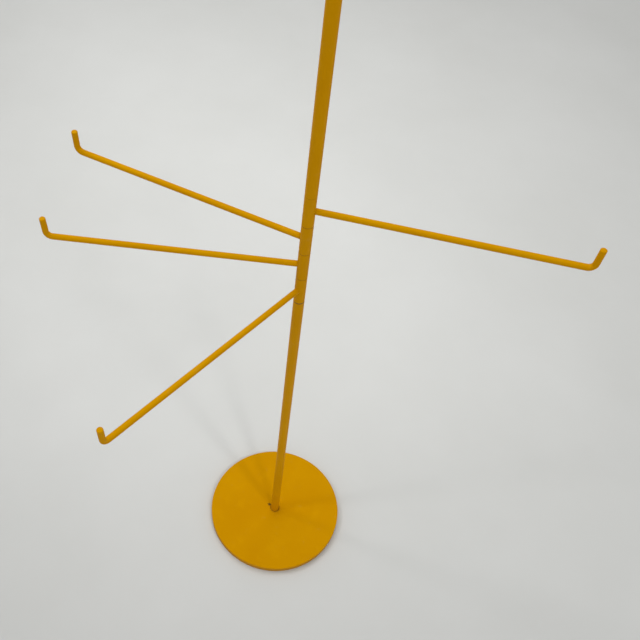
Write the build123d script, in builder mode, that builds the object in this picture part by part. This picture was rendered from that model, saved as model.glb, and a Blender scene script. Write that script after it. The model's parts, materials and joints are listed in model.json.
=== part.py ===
from build123d import *
import math
import os

# Floor stand with four swivelling arms on one slender pole. Millimetres, +Z up. The origin
# is on the floor, on the pole's axis. The arms are numbered from the lowest to the highest.

# Base: a solid steel plate on a soft pad
base_d = 286.0
base_h = 16.0
base_edge_r = 0.8
pad_d = 276.0
pad_t = 1.0
foot_recess_d = 21.0
foot_recess_depth = 1.5
counterbore_d = 22.0
counterbore_depth = 6.0

# Foot bolt (M8, low hexagon head) and its washer
bolt_d = 8.0
bolt_hole_d = 8.5
bolt_head_af = 13.0
bolt_head_h = 4.0
bolt_shank_l = 30.0
washer_d = 20.0
washer_hole_d = 8.4
washer_t = 1.6

# Pole: two tubes of one length, with the swivel between them
tube_d = 17.0
tube_wall = 1.5
tube_edge_chamfer = 0.3
swivel_z = 758.0
insert_l = 25.0
plug_l = 30.0
cap_h = 3.0
cap_edge_r = 2.5
cap_stem_l = 12.0

# Swivel: a spindle through four sleeves, each on two plain bushes
spindle_d = 10.0
stud_l = 24.0
thrust_washer_d = 16.2
thrust_washer_t = 1.0
sleeve_pitch = 52.5
running_gap = 0.2
bush_clearance = 0.05
bush_l = 12.0
bush_flange_d = 16.4
bush_flange_t = 0.5
bush_recess = 0.3

# Arms: a rod welded to each sleeve, with an upturned end
rod_d = 9.0
arm_reach = 367.0
hook_h = 34.5
bend_r = 9.0
tip_edge_r = 1.5
arm_azimuths = [232.4, 180.2, 160.3, -7.4]

# Heights and bores that follow from these
pole_foot_z = base_h - foot_recess_depth
bolt_seat_z = pad_t + counterbore_depth
bolt_head_top_z = bolt_seat_z - washer_t
tube_bore_d = tube_d - 2 * tube_wall
bush_bore_d = spindle_d + 2 * bush_clearance
first_sleeve_z = swivel_z + thrust_washer_t + running_gap
upper_pole_z = first_sleeve_z + len(arm_azimuths) * sleeve_pitch
sleeve_l = sleeve_pitch - running_gap - bush_flange_t
tube_l = swivel_z - pole_foot_z
pole_top_z = upper_pole_z + tube_l

os.makedirs("parts", exist_ok=True)


def finish(piece, label):
    """Labels a finished piece and writes it to its own file."""
    piece.part.label = label
    export_step(piece.part, f"parts/{label}.step")


# ---- Base ----

with BuildPart() as base_pad:
    with BuildSketch():
        Circle(pad_d / 2)
    extrude(amount=pad_t)
finish(base_pad, "base_pad")

with BuildPart() as base_plate:
    with BuildSketch(Plane.XY.offset(pad_t)):
        Circle(base_d / 2)
    extrude(amount=base_h - pad_t)
    fillet(base_plate.edges().filter_by(GeomType.CIRCLE), base_edge_r)
    with BuildSketch(Plane.XY.offset(pole_foot_z)):
        Circle(foot_recess_d / 2)
    extrude(amount=foot_recess_depth, mode=Mode.SUBTRACT)
    with BuildSketch(Plane.XY.offset(pad_t)):
        Circle(counterbore_d / 2)
    extrude(amount=counterbore_depth, mode=Mode.SUBTRACT)
    with BuildSketch(Plane.XY.offset(bolt_seat_z)):
        Circle(bolt_hole_d / 2)
    extrude(amount=pole_foot_z - bolt_seat_z, mode=Mode.SUBTRACT)
finish(base_plate, "base_plate")

with BuildPart() as foot_washer:
    with BuildSketch(Plane.XY.offset(bolt_head_top_z)):
        Circle(washer_d / 2)
        Circle(washer_hole_d / 2, mode=Mode.SUBTRACT)
    extrude(amount=washer_t)
finish(foot_washer, "foot_washer")

with BuildPart() as foot_bolt:
    with BuildSketch(Plane.XY.offset(bolt_head_top_z)):
        RegularPolygon(bolt_head_af / 2, 6, major_radius=False)
    extrude(amount=-bolt_head_h)
    with BuildSketch(Plane.XY.offset(bolt_head_top_z)):
        Circle(bolt_d / 2)
    extrude(amount=bolt_shank_l)
finish(foot_bolt, "foot_bolt")

# ---- Pole ----

for label, bottom_z in [("lower_tube", pole_foot_z), ("upper_tube", upper_pole_z)]:
    with BuildPart() as tube:
        with BuildSketch(Plane.XY.offset(bottom_z)):
            Circle(tube_d / 2)
        extrude(amount=tube_l)
        swivel_end = -1 if label == "lower_tube" else 0
        chamfer(tube.edges().group_by(Axis.Z)[swivel_end], tube_edge_chamfer)
        with BuildSketch(Plane.XY.offset(bottom_z)):
            Circle(tube_bore_d / 2)
        extrude(amount=tube_l, mode=Mode.SUBTRACT)
    finish(tube, label)

threaded_plugs = [
    ("foot_insert", pole_foot_z, insert_l),
    ("lower_tube_plug", swivel_z - plug_l, plug_l),
    ("upper_tube_plug", upper_pole_z, plug_l),
]
for label, bottom_z, length in threaded_plugs:
    with BuildPart() as plug:
        with BuildSketch(Plane.XY.offset(bottom_z)):
            Circle(tube_bore_d / 2)
            Circle(bolt_d / 2, mode=Mode.SUBTRACT)
        extrude(amount=length)
    finish(plug, label)

with BuildPart() as top_cap:
    with BuildSketch(Plane.XY.offset(pole_top_z)):
        Circle(tube_d / 2)
    extrude(amount=cap_h)
    fillet(top_cap.edges().group_by(Axis.Z)[-1], cap_edge_r)
    with BuildSketch(Plane.XY.offset(pole_top_z)):
        Circle(tube_bore_d / 2)
    extrude(amount=-cap_stem_l)
finish(top_cap, "top_cap")

# ---- Swivel ----

with BuildPart() as swivel_spindle:
    with BuildSketch(Plane.XY.offset(swivel_z)):
        Circle(spindle_d / 2)
    extrude(amount=upper_pole_z - swivel_z)
    with BuildSketch(Plane.XY.offset(swivel_z - stud_l)):
        Circle(bolt_d / 2)
    extrude(amount=upper_pole_z - swivel_z + 2 * stud_l)
finish(swivel_spindle, "swivel_spindle")

with BuildPart() as thrust_washer:
    with BuildSketch(Plane.XY.offset(swivel_z)):
        Circle(thrust_washer_d / 2)
        Circle(bush_bore_d / 2, mode=Mode.SUBTRACT)
    extrude(amount=thrust_washer_t)
finish(thrust_washer, "thrust_washer")

for index, azimuth in enumerate(arm_azimuths):
    number = index + 1
    flange_z = first_sleeve_z + index * sleeve_pitch
    sleeve_z = flange_z + bush_flange_t
    sleeve_top_z = sleeve_z + sleeve_l
    rod_z = sleeve_z + sleeve_l / 2
    out_x = math.cos(math.radians(azimuth))
    out_y = math.sin(math.radians(azimuth))

    with BuildPart() as arm_sleeve:
        with BuildSketch(Plane.XY.offset(sleeve_z)):
            Circle(tube_d / 2)
        extrude(amount=sleeve_l)
        chamfer(arm_sleeve.edges().filter_by(GeomType.CIRCLE), tube_edge_chamfer)
        with BuildSketch(Plane.XY.offset(sleeve_z)):
            Circle(tube_bore_d / 2)
        extrude(amount=sleeve_l, mode=Mode.SUBTRACT)
    finish(arm_sleeve, f"arm_sleeve_{number}")

    # The arm's own plane has x outwards and y up. The rod's inner end is coped to the sleeve.
    arm_plane = Plane(origin=(0, 0, rod_z), x_dir=(out_x, out_y, 0), z_dir=(out_y, -out_x, 0))
    with BuildPart() as arm_rod:
        with BuildLine(arm_plane):
            FilletPolyline((0, 0), (arm_reach, 0), (arm_reach, hook_h), radius=bend_r)
        with BuildSketch(Plane(origin=(0, 0, rod_z), z_dir=(out_x, out_y, 0))):
            Circle(rod_d / 2)
        sweep()
        fillet(arm_rod.edges().group_by(Axis.Z)[-1], tip_edge_r)
        with BuildSketch(Plane.XY.offset(sleeve_z)):
            Circle(tube_d / 2)
        extrude(amount=sleeve_l, mode=Mode.SUBTRACT)
    finish(arm_rod, f"arm_rod_{number}")

    with BuildPart() as lower_bush:
        with BuildSketch(Plane.XY.offset(flange_z)):
            Circle(bush_flange_d / 2)
        extrude(amount=bush_flange_t)
        with BuildSketch(Plane.XY.offset(flange_z)):
            Circle(tube_bore_d / 2)
        extrude(amount=bush_flange_t + bush_l)
        with BuildSketch(Plane.XY.offset(flange_z)):
            Circle(bush_bore_d / 2)
        extrude(amount=bush_flange_t + bush_l, mode=Mode.SUBTRACT)
    finish(lower_bush, f"lower_bush_{number}")

    with BuildPart() as upper_bush:
        with BuildSketch(Plane.XY.offset(sleeve_top_z - bush_recess)):
            Circle(tube_bore_d / 2)
            Circle(bush_bore_d / 2, mode=Mode.SUBTRACT)
        extrude(amount=-bush_l)
    finish(upper_bush, f"upper_bush_{number}")
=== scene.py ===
import json
import math

import bpy
from mathutils import Matrix, Vector


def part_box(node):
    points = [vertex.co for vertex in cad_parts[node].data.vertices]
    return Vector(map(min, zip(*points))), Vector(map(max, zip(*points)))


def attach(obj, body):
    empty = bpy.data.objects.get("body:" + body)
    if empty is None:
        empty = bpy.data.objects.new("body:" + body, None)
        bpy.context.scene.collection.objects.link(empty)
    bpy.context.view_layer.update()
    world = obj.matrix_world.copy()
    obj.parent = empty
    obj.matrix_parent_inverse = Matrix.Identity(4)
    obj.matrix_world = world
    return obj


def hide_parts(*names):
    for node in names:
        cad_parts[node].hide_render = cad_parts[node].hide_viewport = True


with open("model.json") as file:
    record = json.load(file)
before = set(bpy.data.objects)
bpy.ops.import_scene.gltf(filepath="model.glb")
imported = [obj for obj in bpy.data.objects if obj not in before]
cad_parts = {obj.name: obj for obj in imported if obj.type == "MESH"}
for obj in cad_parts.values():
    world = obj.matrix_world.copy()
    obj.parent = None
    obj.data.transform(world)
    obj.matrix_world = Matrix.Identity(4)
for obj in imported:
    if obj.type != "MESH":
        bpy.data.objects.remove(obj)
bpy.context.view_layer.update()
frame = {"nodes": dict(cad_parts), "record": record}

# A floor stand with four swivelling arms. Metres throughout, in the frame of the CAD model.
# Each painted CAD node is replaced by a smoother piece of the same size, built here from the
# node's own box, and each arm gains a small weld. The other nodes stay as they are and take the
# materials below.

MM = 0.001
UP = Vector((0.0, 0.0, 1.0))
ARM_NUMBERS = (1, 2, 3, 4)

# Details that the boxes of the nodes don't give
PLATE_EDGE_R = 0.8 * MM
FOOT_RECESS_R = 10.5 * MM
FOOT_RECESS_DEPTH = 1.5 * MM
RECESS_EDGE_R = 0.3 * MM
COUNTERBORE_R = 11.0 * MM
COUNTERBORE_DEPTH = 6.0 * MM
BOLT_HOLE_R = 4.25 * MM
TUBE_WALL = 1.5 * MM
TUBE_END_R = 0.3 * MM
CAP_EDGE_R = 2.5 * MM
CAP_HEIGHT = 3.0 * MM
ROD_RADIUS = 4.5 * MM
ROD_TIP_R = 1.5 * MM
BEND_R = 9.0 * MM
COPE_DEPTH = TUBE_WALL / 3
WELD_LEG = 0.9 * MM
WELD_SUNK = 0.08 * MM

# How finely the meshes are divided
SUPPORT = 0.25 * MM
TOLERANCE = 0.1 * MM
ROUND_STEPS = 8
TUBE_SEGMENTS = 96
ROD_SEGMENTS = 48
BASE_SEGMENTS = 288
PLATE_RINGS = 24
ROD_SPANS = 12
ROD_SPAN_MARGIN = 2 * MM
HOOK_MARGIN = 1 * MM
BEND_STEPS = 24
WELD_SEGMENTS = 72
WELD_POINTS = 7

# Painted shade in the recess, round the foot, low on the plate's edge, at seams and in the rods'
# creases: how strong it is, and how far it reaches
RECESS_SHADE = 0.85
FOOT_SHADE, FOOT_SHADE_REACH = 0.30, 2.0 * MM
RIM_SHADE, RIM_SHADE_REACH = 0.90, 30.0 * MM
SEAM_SHADE, SEAM_SHADE_REACH = 0.5, 0.8 * MM
ROOT_SHADE, ROOT_SHADE_REACH = 0.25, 3 * MM
WELD_SHADE = 0.12


# ---------------------------------------------------------------- mesh builders


def new_piece(name, verts, faces, body, material):
    """Makes a smooth mesh piece that rides on a body."""
    mesh = bpy.data.meshes.new(name)
    mesh.from_pydata(verts, [], faces)
    mesh.validate()
    mesh.update()
    mesh.shade_smooth()
    piece = bpy.data.objects.new(name, mesh)
    bpy.context.scene.collection.objects.link(piece)
    mesh.materials.append(material)
    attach(piece, body)
    return piece


def arc(centre_r, centre_z, radius, start_deg, end_deg, steps=ROUND_STEPS):
    """Points of an arc in the (r, z) half-plane."""
    points = []
    for step in range(steps + 1):
        angle = math.radians(start_deg + (end_deg - start_deg) * step / steps)
        points.append((centre_r + radius * math.cos(angle), centre_z + radius * math.sin(angle)))
    return points


def supported(loop):
    """Adds a point just inside each end of the long runs, so that smooth shading keeps them flat."""
    result = []
    for index, point in enumerate(loop):
        following = loop[(index + 1) % len(loop)]
        result.append(point)
        length = math.dist(point, following)
        if length > 5 * SUPPORT:
            for share in (SUPPORT / length, 1 - SUPPORT / length):
                result.append(tuple(a + (b - a) * share for a, b in zip(point, following)))
    return result


def with_rings(start, end, count):
    """Points that divide a straight run evenly, without its ends."""
    return [tuple(a + (b - a) * step / count for a, b in zip(start, end)) for step in range(1, count)]


def lathe(loop, segments):
    """Turns a closed outline round the Z axis. A point on the axis becomes one vertex."""
    verts, rings = [], []
    for radius, height in loop:
        if radius == 0.0:
            rings.append([len(verts)] * segments)
            verts.append((0.0, 0.0, height))
            continue
        rings.append(list(range(len(verts), len(verts) + segments)))
        for step in range(segments):
            angle = 2 * math.pi * step / segments
            verts.append((radius * math.cos(angle), radius * math.sin(angle), height))
    faces = []
    for index, ring in enumerate(rings):
        following = rings[(index + 1) % len(rings)]
        if ring[0] == ring[1] and following[0] == following[1]:
            continue
        for step in range(segments):
            beside = (step + 1) % segments
            corners = [ring[step], ring[beside], following[beside], following[step]]
            faces.append(list(dict.fromkeys(corners)))
    return verts, faces


def tube_loop(outer_r, inner_r, low_z, high_z):
    """The section of a plain tube with softened ends, anticlockwise."""
    r = TUBE_END_R
    loop = arc(outer_r - r, low_z + r, r, -90, 0)
    loop += arc(outer_r - r, high_z - r, r, 0, 90)
    loop += [(inner_r, high_z), (inner_r, low_z)]
    return supported(loop)


def skin(rings, centre_start, centre_end):
    """Faces a row of rings and closes both ends with a fan."""
    verts = [tuple(point) for ring in rings for point in ring]
    count = len(rings[0])
    faces = []
    for row in range(len(rings) - 1):
        for step in range(count):
            beside = (step + 1) % count
            low, high = row * count, (row + 1) * count
            faces.append([low + step, low + beside, high + beside, high + step])
    start, end = len(verts), len(verts) + 1
    verts += [tuple(centre_start), tuple(centre_end)]
    last = (len(rings) - 1) * count
    for step in range(count):
        beside = (step + 1) % count
        faces.append([start, beside, step])
        faces.append([end, last + step, last + beside])
    return verts, faces


# ---------------------------------------------------------------- materials


class Nodes:
    """Short ways to add nodes to a new material."""

    def __init__(self, name):
        self.material = bpy.data.materials.new(name)
        self.material.use_nodes = True
        self.tree = self.material.node_tree
        self.shader = self.tree.nodes["Principled BSDF"]
        self.coords = self.tree.nodes.new("ShaderNodeTexCoord").outputs["Object"]

    def link(self, source, target):
        self.tree.links.new(source, target)

    def stretched(self, scale):
        node = self.tree.nodes.new("ShaderNodeMapping")
        node.inputs["Scale"].default_value = scale
        self.link(self.coords, node.inputs["Vector"])
        return node.outputs["Vector"]

    def noise(self, scale, detail=3.0, roughness=0.5, vector=None):
        node = self.tree.nodes.new("ShaderNodeTexNoise")
        node.inputs["Scale"].default_value = scale
        node.inputs["Detail"].default_value = detail
        node.inputs["Roughness"].default_value = roughness
        self.link(vector or self.coords, node.inputs["Vector"])
        return node.outputs["Fac"]

    def cells(self, scale):
        node = self.tree.nodes.new("ShaderNodeTexVoronoi")
        node.inputs["Scale"].default_value = scale
        self.link(self.coords, node.inputs["Vector"])
        return node.outputs["Distance"]

    def spread(self, value, low, high, to_low=0.0, to_high=1.0):
        """Carries the range from low to high over to the range from to_low to to_high."""
        node = self.tree.nodes.new("ShaderNodeMapRange")
        node.inputs["From Min"].default_value = low
        node.inputs["From Max"].default_value = high
        node.inputs["To Min"].default_value = to_low
        node.inputs["To Max"].default_value = to_high
        self.link(value, node.inputs["Value"])
        return node.outputs["Result"]

    def math(self, operation, first, second):
        node = self.tree.nodes.new("ShaderNodeMath")
        node.operation = operation
        for socket, value in zip(node.inputs, (first, second)):
            if isinstance(value, (int, float)):
                socket.default_value = value
            else:
                self.link(value, socket)
        return node.outputs["Value"]

    def mix(self, factor, first, second):
        node = self.tree.nodes.new("ShaderNodeMix")
        node.data_type = "RGBA"
        for key, value in (("Factor_Float", factor), ("A_Color", first), ("B_Color", second)):
            socket = next(s for s in node.inputs if s.identifier == key)
            if isinstance(value, (int, float, tuple)):
                socket.default_value = value
            else:
                self.link(value, socket)
        return next(s for s in node.outputs if s.identifier == "Result_Color")

    def measure(self, operation, vector):
        """The distance from a place (DISTANCE), or how far along a direction (DOT_PRODUCT)."""
        node = self.tree.nodes.new("ShaderNodeVectorMath")
        node.operation = operation
        self.link(self.coords, node.inputs[0])
        node.inputs[1].default_value = vector
        return node.outputs["Value"]

    def spot(self, place, size):
        """1 inside a ragged spot of this radius round a place, falling to 0 outside it."""
        ragged = self.spread(self.noise(900.0, 3.0), 0.3, 0.7, 0.4 * size, -0.8 * size)
        edge = self.math("ADD", self.measure("DISTANCE", place), ragged)
        return self.spread(edge, 0.5 * size, size, 1.0, 0.0)

    def attribute(self, name):
        node = self.tree.nodes.new("ShaderNodeAttribute")
        node.attribute_name = name
        return node.outputs["Fac"]

    def bump(self, height, distance, strength=1.0, before=None):
        node = self.tree.nodes.new("ShaderNodeBump")
        node.inputs["Distance"].default_value = distance
        node.inputs["Strength"].default_value = strength
        self.link(height, node.inputs["Height"])
        if before:
            self.link(before, node.inputs["Normal"])
        return node.outputs["Normal"]

    def set(self, **sockets):
        for name, value in sockets.items():
            socket = self.shader.inputs[name.replace("_", " ")]
            if isinstance(value, (int, float, tuple)):
                socket.default_value = value
            else:
                self.link(value, socket)
        return self.material


# Colours are linear red, green, blue and alpha
PAINT = (0.600, 0.280, 0.0006, 1.0)
PAINT_DEEP = (0.572, 0.258, 0.0004, 1.0)
PAINT_LIGHT = (0.630, 0.303, 0.0010, 1.0)
# The worn tone colours the specks of wear and also the painted shade
PAINT_WORN_AND_SHADE = (0.30, 0.140, 0.012, 1.0)
PAINT_SHINE = (1.0, 0.70, 0.0, 1.0)
PAINT_CHIP = (0.110, 0.060, 0.012, 1.0)
PAINT_GLOSS = 0.03
DUST = (0.60, 0.52, 0.36, 1.0)
NYLON, NYLON_RUBBED = (0.018, 0.017, 0.015, 1.0), (0.045, 0.040, 0.034, 1.0)
STEEL_DULL, STEEL_BRIGHT = (0.46, 0.46, 0.44, 1.0), (0.62, 0.62, 0.60, 1.0)
BRONZE_STAINED, BRONZE = (0.155, 0.080, 0.022, 1.0), (0.260, 0.145, 0.048, 1.0)
BRONZE_PORE = (0.050, 0.028, 0.010, 1.0)
FOAM_PORE, FOAM = (0.010, 0.010, 0.010, 1.0), (0.036, 0.036, 0.035, 1.0)
FOAM_SCUFFED = (0.11, 0.105, 0.10, 1.0)
FLOOR, FLOOR_PALE = (0.675, 0.680, 0.660, 1.0), (0.720, 0.726, 0.710, 1.0)
FLOOR_DARK = (0.0, 0.0, 0.0, 1.0)

# A knock in the plate's paint beside the pole's foot
CHIP_PLACE = (-13.0 * MM, 6.0 * MM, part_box("base_plate")[1].z)
CHIP_SIZE = 3.2 * MM


def powder_coat():
    """Dull ochre-yellow powder coat: slow tone drift, fine grain, orange peel, scuffs and a chip, with
    painted shade where each piece marks it.
    """
    n = Nodes("powder_coat")
    drift = n.spread(n.noise(9.0, 3.0), 0.36, 0.64)
    colour = n.mix(drift, PAINT_DEEP, PAINT)
    film = n.spread(n.noise(34.0, 4.0), 0.55, 0.78, 0.0, 0.55)
    colour = n.mix(film, colour, PAINT_LIGHT)
    grain = n.spread(n.noise(2600.0, 2.0), 0.60, 0.80, 0.0, 0.35)
    colour = n.mix(grain, colour, PAINT_DEEP)
    specks = n.spread(n.cells(420.0), 0.045, 0.015, 0.0, 0.45)
    colour = n.mix(specks, colour, PAINT_WORN_AND_SHADE)
    dust = n.spread(n.noise(60.0, 6.0, 0.65), 0.60, 0.80, 0.0, 0.05)
    colour = n.mix(dust, colour, DUST)
    # Painted shade: the coat darkens towards the worn tone wherever each piece marks it, in recesses, at
    # seams, in creases and low on the plate's edge, a little patchy
    patchy = n.spread(n.noise(700.0, 4.0), 0.25, 0.7, 0.55, 1.0)
    painted_shade = n.math("MULTIPLY", n.attribute("painted_shade"), patchy)
    colour = n.mix(painted_shade, colour, PAINT_WORN_AND_SHADE)
    streaks = n.noise(26.0, 2.0, vector=n.stretched((1.0, 9.0, 0.6)))
    scuffs = n.spread(streaks, 0.62, 0.74, 0.0, 0.10)
    rough = n.math("ADD", n.spread(n.noise(140.0, 3.0), 0.3, 0.7, 0.40, 0.50), scuffs)
    peel = n.bump(n.noise(620.0, 1.0), 0.00010, 0.35)
    fine = n.bump(n.noise(2600.0, 2.0), 0.00002, 0.30, peel)
    colour = n.mix(n.spot(CHIP_PLACE, CHIP_SIZE), colour, PAINT_CHIP)
    n.set(Specular_Tint=PAINT_SHINE, Specular_IOR_Level=PAINT_GLOSS)
    return n.set(Base_Color=colour, Roughness=rough, Normal=fine)


def nylon():
    """Matt black moulded nylon, finely mottled where it is rubbed."""
    n = Nodes("nylon")
    colour = n.mix(n.noise(900.0, 3.0), NYLON, NYLON_RUBBED)
    rough = n.spread(n.noise(1400.0, 2.0), 0.3, 0.7, 0.48, 0.66)
    return n.set(Base_Color=colour, Roughness=rough, Normal=n.bump(n.noise(1800.0, 2.0), 0.00002, 0.4))


def turned_steel():
    """Zinc-plated steel with turning marks round the axis and dull patches."""
    n = Nodes("turned_steel")
    rings = n.noise(1.0, 2.0, vector=n.stretched((60.0, 60.0, 5200.0)))
    cloud = n.noise(130.0, 4.0)
    colour = n.mix(cloud, STEEL_DULL, STEEL_BRIGHT)
    rough = n.math("ADD", n.spread(rings, 0.3, 0.7, 0.16, 0.30), n.spread(cloud, 0.4, 0.7, 0.0, 0.16))
    return n.set(Base_Color=colour, Metallic=1.0, Roughness=rough, Normal=n.bump(rings, 0.00001, 0.4))


def bearing_bronze():
    """Oil-filled sintered bronze: dull brown, finely porous, stained darker in places."""
    n = Nodes("bearing_bronze")
    pores = n.spread(n.cells(2600.0), 0.06, 0.30)
    colour = n.mix(n.noise(260.0, 4.0), BRONZE_STAINED, BRONZE)
    colour = n.mix(pores, BRONZE_PORE, colour)
    rough = n.spread(n.noise(700.0, 2.0), 0.3, 0.7, 0.42, 0.58)
    return n.set(Base_Color=colour, Metallic=0.85, Roughness=rough, Normal=n.bump(pores, 0.00003, 0.5))


def foam_rubber():
    """Black closed-cell foam rubber with open pores and pale scuffs where it meets the floor."""
    n = Nodes("foam_rubber")
    pores = n.spread(n.cells(1100.0), 0.10, 0.38)
    scuffed = n.spread(n.noise(38.0, 5.0), 0.56, 0.76, 0.0, 0.35)
    colour = n.mix(pores, FOAM_PORE, FOAM)
    colour = n.mix(scuffed, colour, FOAM_SCUFFED)
    return n.set(Base_Color=colour, Roughness=0.9, Normal=n.bump(pores, 0.00012, 0.6))


# The floor's colour holds painted shade where the light falls off: a little darker towards the near
# left, and all round from its brightest place
FLOOR_SHADE_WAY = (0.6, 0.5, 0.0)
FLOOR_SHADE, FLOOR_SHADE_FULL, FLOOR_SHADE_NONE = 0.11, -0.5, 0.4
FLOOR_BRIGHTEST = (-0.25, 0.65, 0.0)
FLOOR_FALLOFF, FLOOR_FALLOFF_START, FLOOR_FALLOFF_END = 0.19, 0.5, 2.0


def pale_floor():
    """Plain pale sealed floor with a faint cloudiness and painted shade where the light falls off."""
    n = Nodes("pale_floor")
    cloud = n.spread(n.noise(1.6, 5.0, 0.6), 0.3, 0.7)
    colour = n.mix(cloud, FLOOR, FLOOR_PALE)
    along = n.measure("DOT_PRODUCT", FLOOR_SHADE_WAY)
    near = n.spread(along, FLOOR_SHADE_FULL, FLOOR_SHADE_NONE, FLOOR_SHADE, 0.0)
    away = n.measure("DISTANCE", FLOOR_BRIGHTEST)
    far = n.spread(away, FLOOR_FALLOFF_START, FLOOR_FALLOFF_END, 0.0, FLOOR_FALLOFF)
    # Painted shade: the two falloffs darken the floor's colour
    shade = n.math("ADD", near, far)
    colour = n.mix(shade, colour, FLOOR_DARK)
    rough = n.spread(n.noise(5.0, 4.0), 0.3, 0.7, 0.50, 0.62)
    return n.set(Base_Color=colour, Roughness=rough, Normal=n.bump(n.noise(90.0, 4.0), 0.0003, 0.25))


paint = powder_coat()
node_materials = {
    "nylon": nylon(),
    "bronze": bearing_bronze(),
    "bright_steel": turned_steel(),
    "floor_pad": foam_rubber(),
    "powder_coat": paint,
}

for part in frame["record"]["subparts"]:
    mesh = frame["nodes"][part["node"]].data
    mesh.materials.clear()
    mesh.materials.append(node_materials[part["material_slot"]])


def set_painted_shade(piece, amount):
    """Writes how much painted shade each vertex holds, from a function of its place."""
    layer = piece.data.attributes.new("painted_shade", "FLOAT", "POINT")
    for index, vertex in enumerate(piece.data.vertices):
        layer.data[index].value = amount(vertex.co)


def fade(distance, reach):
    """1 at no distance, falling smoothly to 0 at the reach."""
    share = max(0.0, 1.0 - abs(distance) / reach)
    return share * share


# ---------------------------------------------------------------- base


def make_base():
    """The solid round plate, with the recess that the pole stands in and the bolt's hole below it."""
    low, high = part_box("base_plate")
    outer, top, under = high.x, high.z, low.z
    edge, soft = PLATE_EDGE_R, RECESS_EDGE_R
    recess_z = top - FOOT_RECESS_DEPTH
    seat_z = under + COUNTERBORE_DEPTH
    top_in, top_out = (FOOT_RECESS_R + soft, top), (outer - edge, top)
    loop = [(COUNTERBORE_R, under)]
    loop += arc(outer - edge, under + edge, edge, -90, 0)
    loop += arc(outer - edge, top - edge, edge, 0, 90)
    loop += with_rings(top_out, top_in, PLATE_RINGS)
    loop += arc(FOOT_RECESS_R + soft, top - soft, soft, 90, 180)
    loop += [(FOOT_RECESS_R, recess_z), (BOLT_HOLE_R, recess_z)]
    loop += [(BOLT_HOLE_R, seat_z), (COUNTERBORE_R, seat_z)]
    verts, faces = lathe(supported(loop), BASE_SEGMENTS)
    piece = new_piece("base_disc", verts, faces, "stand", paint)
    # Painted shade in the recess, round the foot and low on the plate's edge
    set_painted_shade(piece, lambda co: base_painted_shade(co, outer, top, under))
    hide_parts("base_plate")


def base_painted_shade(co, outer, top, under):
    """Painted shade in the recess round the pole's foot, just round the foot, and low on the plate's
    edge, darker towards the floor.
    """
    radius = co.xy.length
    in_recess = radius < FOOT_RECESS_R + TOLERANCE and co.z < top - 2 * TOLERANCE
    recess = RECESS_SHADE if in_recess else 0.0
    foot = FOOT_SHADE * fade(max(0.0, radius - FOOT_RECESS_R), FOOT_SHADE_REACH)
    on_rim = radius > outer - 0.3 * PLATE_EDGE_R
    rim = RIM_SHADE * fade(co.z - under, RIM_SHADE_REACH) if on_rim else 0.0
    return max(recess, foot, rim)


make_base()

# ---------------------------------------------------------------- pole


def make_tube(name, node, body):
    """A painted tube with softened ends, with painted shade at the seam of each end."""
    low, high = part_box(node)
    verts, faces = lathe(tube_loop(high.x, high.x - TUBE_WALL, low.z, high.z), TUBE_SEGMENTS)
    piece = new_piece(name, verts, faces, body, paint)
    # Painted shade at the seam of each end
    set_painted_shade(piece, lambda co: max(seam_shade(co.z - low.z), seam_shade(co.z - high.z)))
    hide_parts(node)


def seam_shade(distance):
    """The painted shade at this distance from a seam."""
    return SEAM_SHADE * fade(distance, SEAM_SHADE_REACH)


def make_cap():
    """The pole's rounded cap, with the stem that holds it in the tube."""
    low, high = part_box("top_cap")
    base = high.z - CAP_HEIGHT
    radius = high.x
    stem = radius - TUBE_WALL
    loop = [(0.0, low.z), (stem, low.z), (stem, base), (radius, base)]
    loop += arc(radius - CAP_EDGE_R, high.z - CAP_EDGE_R, CAP_EDGE_R, 0, 90, 2 * ROUND_STEPS)
    loop += [(0.0, high.z)]
    verts, faces = lathe(supported(loop), TUBE_SEGMENTS)
    piece = new_piece("pole_cap", verts, faces, "stand", paint)
    # Painted shade at the seam under the cap's rim
    set_painted_shade(piece, lambda co: seam_shade(co.z - base))
    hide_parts("top_cap")


make_tube("lower_pole", "lower_tube", "stand")
make_tube("upper_pole", "upper_tube", "stand")
make_cap()

# ---------------------------------------------------------------- arms


def arm_direction(node):
    """The level reach from the pole to the arm's end, from the middle of its highest points."""
    mesh = frame["nodes"][node].data
    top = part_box(node)[1].z
    tip = [v.co for v in mesh.vertices if v.co.z > top - TOLERANCE]
    middle = [(min(co[axis] for co in tip) + max(co[axis] for co in tip)) / 2 for axis in (0, 1)]
    return Vector((*middle, 0.0))


def ring_at(centre, along, side, radius):
    """A circle of points about a centre, square to the direction along."""
    across = along.cross(side)
    ring = []
    for step in range(ROD_SEGMENTS):
        angle = 2 * math.pi * step / ROD_SEGMENTS
        ring.append(centre + side * (radius * math.cos(angle)) + across * (radius * math.sin(angle)))
    return ring


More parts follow.
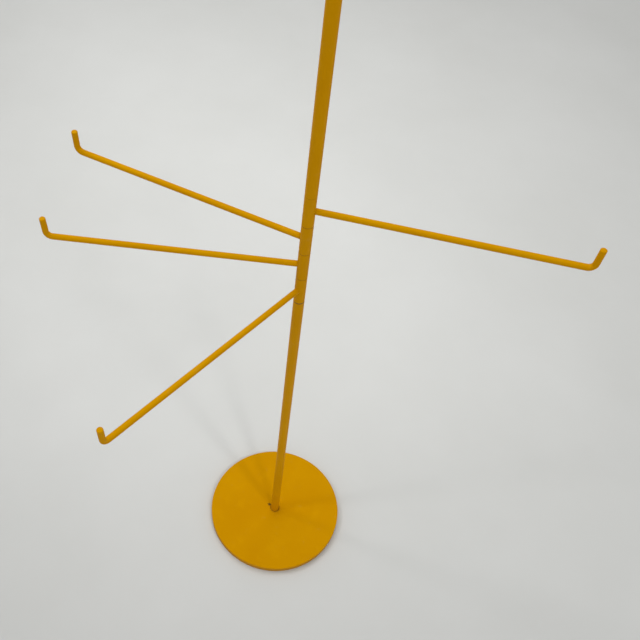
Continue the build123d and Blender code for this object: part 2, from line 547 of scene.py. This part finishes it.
def make_rod(number, sleeve_r):
    """The arm's rod: coped to the sleeve, straight, bent up, and softened at its tip."""
    node = f"arm_rod_{number}"
    low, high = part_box(node)
    reach = arm_direction(node)
    out, length = reach.normalized(), reach.length
    side = out.cross(UP)
    axis_z = low.z + ROD_RADIUS
    cope_r = sleeve_r - COPE_DEPTH

    def place(distance, height):
        return out * distance + UP * height

    saddle = []
    for point in ring_at(place(0.0, axis_z), out, side, ROD_RADIUS):
        offset = point.dot(side)
        saddle.append(point + out * math.sqrt(cope_r**2 - offset**2))
    rings = [saddle]
    straight_start, straight_end = sleeve_r + ROD_SPAN_MARGIN, length - BEND_R
    for step in range(ROD_SPANS + 1):
        distance = straight_start + (straight_end - straight_start) * step / ROD_SPANS
        rings.append(ring_at(place(distance, axis_z), out, side, ROD_RADIUS))
    for step in range(1, BEND_STEPS + 1):
        turn = math.pi / 2 * step / BEND_STEPS
        centre = place(straight_end + BEND_R * math.sin(turn), axis_z + BEND_R * (1 - math.cos(turn)))
        along = out * math.cos(turn) + UP * math.sin(turn)
        rings.append(ring_at(centre, along, side, ROD_RADIUS))
    shoulder = high.z - ROD_TIP_R
    for height in (axis_z + BEND_R + HOOK_MARGIN, shoulder - HOOK_MARGIN):
        rings.append(ring_at(place(length, height), UP, side, ROD_RADIUS))
    for inset, height in arc(0.0, shoulder, ROD_TIP_R, 0, 90):
        rings.append(ring_at(place(length, height), UP, side, ROD_RADIUS - ROD_TIP_R + inset))
    rings.append(ring_at(place(length, high.z), UP, side, ROD_RADIUS - ROD_TIP_R - SUPPORT))
    verts, faces = skin(rings, place(cope_r, axis_z), place(length, high.z))
    piece = new_piece(f"arm_rod_skin_{number}", verts, faces, f"arm_{number}", paint)
    # Painted shade on the rod near its root, in the crease where it meets the sleeve
    set_painted_shade(piece, lambda co: ROOT_SHADE * fade(co.xy.length - sleeve_r, ROOT_SHADE_REACH))
    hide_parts(node)
    return out, side, axis_z


def make_weld(number, sleeve_r, out, side, axis_z):
    """The painted-over weld, a small hollow fillet round the rod's root, a little uneven."""

    def on_sleeve(angle, from_axis, lift):
        across, height = from_axis * math.cos(angle), from_axis * math.sin(angle)
        distance = math.sqrt((sleeve_r + lift) ** 2 - across**2)
        return out * distance + side * across + UP * (axis_z + height)

    verts, faces = [], []
    for step in range(WELD_SEGMENTS):
        angle = 2 * math.pi * step / WELD_SEGMENTS
        ripple = 1 + 0.06 * math.sin(17 * angle + number) + 0.04 * math.sin(29 * angle)
        leg = WELD_LEG * ripple
        corner = on_sleeve(angle, ROD_RADIUS, 0.0)
        foot = on_sleeve(angle, ROD_RADIUS + leg, -WELD_SUNK)
        head = on_sleeve(angle, ROD_RADIUS - WELD_SUNK, leg)
        for point in range(WELD_POINTS):
            share = point / (WELD_POINTS - 1)
            bend = foot * (1 - share) ** 2 + corner * (2 * share * (1 - share)) + head * share**2
            verts.append(tuple(bend))
        verts.append(tuple(on_sleeve(angle, ROD_RADIUS - 4 * WELD_SUNK, -4 * WELD_SUNK)))
    ring = WELD_POINTS + 1
    for step in range(WELD_SEGMENTS):
        here, there = step * ring, (step + 1) % WELD_SEGMENTS * ring
        for point in range(ring):
            after = (point + 1) % ring
            faces.append([here + point, there + point, there + after, here + after])
    piece = new_piece(f"arm_weld_{number}", verts, faces, f"arm_{number}", paint)
    # Painted shade: the weld in the rod's crease is evenly darkened
    set_painted_shade(piece, lambda co: WELD_SHADE)


for number in ARM_NUMBERS:
    sleeve = f"arm_sleeve_{number}"
    sleeve_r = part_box(sleeve)[1].x
    make_tube(f"arm_sleeve_skin_{number}", sleeve, f"arm_{number}")
    make_weld(number, sleeve_r, *make_rod(number, sleeve_r))

# ---------------------------------------------------------------- floor, light and camera


FLOOR_HALF = 14.0
FLOOR_CELLS = 28


def make_floor():
    """A level square floor, centred under the stand."""
    verts, faces = [], []
    places = [FLOOR_HALF * (2 * step / FLOOR_CELLS - 1) for step in range(FLOOR_CELLS + 1)]
    for y in places:
        for x in places:
            verts.append((x, y, 0.0))
    for row in range(FLOOR_CELLS):
        for column in range(FLOOR_CELLS):
            corner = row * len(places) + column
            above = corner + len(places)
            faces.append([corner, corner + 1, above + 1, above])
    mesh = bpy.data.meshes.new("floor")
    mesh.from_pydata(verts, [], faces)
    mesh.materials.append(pale_floor())
    floor = bpy.data.objects.new("floor", mesh)
    bpy.context.scene.collection.objects.link(floor)


# Of each far lamp: the azimuth that shadows fall towards, its elevation and its spread, in degrees,
# and its strength
FAR_LAMPS = {
    "lamp_front_right": (133.0, 52.0, 5.4, 0.36),
    "lamp_front": (114.5, 54.0, 5.1, 0.36),
    "lamp_left": (17.0, 50.0, 6.1, 0.25),
    "lamp_back_left": (-16.0, 50.0, 6.1, 0.25),
}
OVERHEAD_PLACE = (-0.50, 1.20, 2.6)
OVERHEAD_SIZE = 2.2
OVERHEAD_POWER = 27.0


def make_far_lamp(name, shadow_azimuth, elevation, spread, strength):
    """A far lamp that throws the pole's shadow towards an azimuth. Its spread softens the shadow."""
    data = bpy.data.lights.new(name, "SUN")
    data.angle = math.radians(spread)
    data.energy = strength
    lamp = bpy.data.objects.new(name, data)
    bpy.context.scene.collection.objects.link(lamp)
    azimuth, lift = math.radians(shadow_azimuth + 180), math.radians(elevation)
    level = Vector((math.cos(azimuth), math.sin(azimuth), 0.0))
    back = level * math.cos(lift) + UP * math.sin(lift)
    lamp.rotation_euler = back.to_track_quat("Z", "Y").to_euler()


def make_overhead_lamp():
    """A wide soft lamp behind the stand, facing straight down."""
    data = bpy.data.lights.new("lamp_overhead", "AREA")
    data.shape = "DISK"
    data.size = OVERHEAD_SIZE
    data.energy = OVERHEAD_POWER
    lamp = bpy.data.objects.new("lamp_overhead", data)
    bpy.context.scene.collection.objects.link(lamp)
    lamp.location = OVERHEAD_PLACE


WORLD_AT_HORIZON = 0.95
WORLD_OVERHEAD = 0.21
WORLD_OVERHEAD_FROM = 0.9
WORLD_COLOUR = (1.0, 1.0, 0.985, 1.0)


def make_world():
    """Plain soft light from all round, brighter at the horizon than overhead."""
    world = bpy.data.worlds.new("studio")
    world.use_nodes = True
    tree = world.node_tree
    background = tree.nodes["Background"]
    place = tree.nodes.new("ShaderNodeTexCoord")
    split = tree.nodes.new("ShaderNodeSeparateXYZ")
    height = tree.nodes.new("ShaderNodeMapRange")
    height.inputs["From Min"].default_value = 0.0
    height.inputs["From Max"].default_value = WORLD_OVERHEAD_FROM
    height.inputs["To Min"].default_value = WORLD_AT_HORIZON
    height.inputs["To Max"].default_value = WORLD_OVERHEAD
    tree.links.new(place.outputs["Generated"], split.inputs["Vector"])
    tree.links.new(split.outputs["Z"], height.inputs["Value"])
    tree.links.new(height.outputs["Result"], background.inputs["Strength"])
    background.inputs["Color"].default_value = WORLD_COLOUR
    bpy.context.scene.world = world


CAMERA_PLACE = (0.0, -0.7487, 1.6647)
CAMERA_PAN, CAMERA_TILT, CAMERA_ROLL = -2.117, 54.664, 4.908
CAMERA_SENSOR, CAMERA_LENS = 36.0, 44.05
CAMERA_SHIFT_X, CAMERA_SHIFT_Y = 0.0693, 0.0558


def make_camera():
    """A hand-held view from above, a little rolled, and shifted because its middle isn't the frame's."""
    pan, tilt, roll = (math.radians(turn) for turn in (CAMERA_PAN, CAMERA_TILT, CAMERA_ROLL))
    ahead = Vector((math.sin(pan), math.cos(pan), 0.0))
    forward = ahead * math.cos(tilt) - UP * math.sin(tilt)
    level = ahead.cross(UP)
    upright = level.cross(forward)
    right = level * math.cos(roll) + upright * math.sin(roll)
    above = upright * math.cos(roll) - level * math.sin(roll)
    data = bpy.data.cameras.new("camera")
    data.sensor_width = CAMERA_SENSOR
    data.lens = CAMERA_LENS
    data.shift_x = CAMERA_SHIFT_X
    data.shift_y = CAMERA_SHIFT_Y
    camera = bpy.data.objects.new("camera", data)
    bpy.context.scene.collection.objects.link(camera)
    turned = Matrix((right, above, -forward)).transposed().to_4x4()
    camera.matrix_world = Matrix.Translation(CAMERA_PLACE) @ turned
    bpy.context.scene.camera = camera


make_floor()
make_world()
for name, setting in FAR_LAMPS.items():
    make_far_lamp(name, *setting)
make_overhead_lamp()
make_camera()
bpy.context.scene.view_settings.view_transform = "Standard"
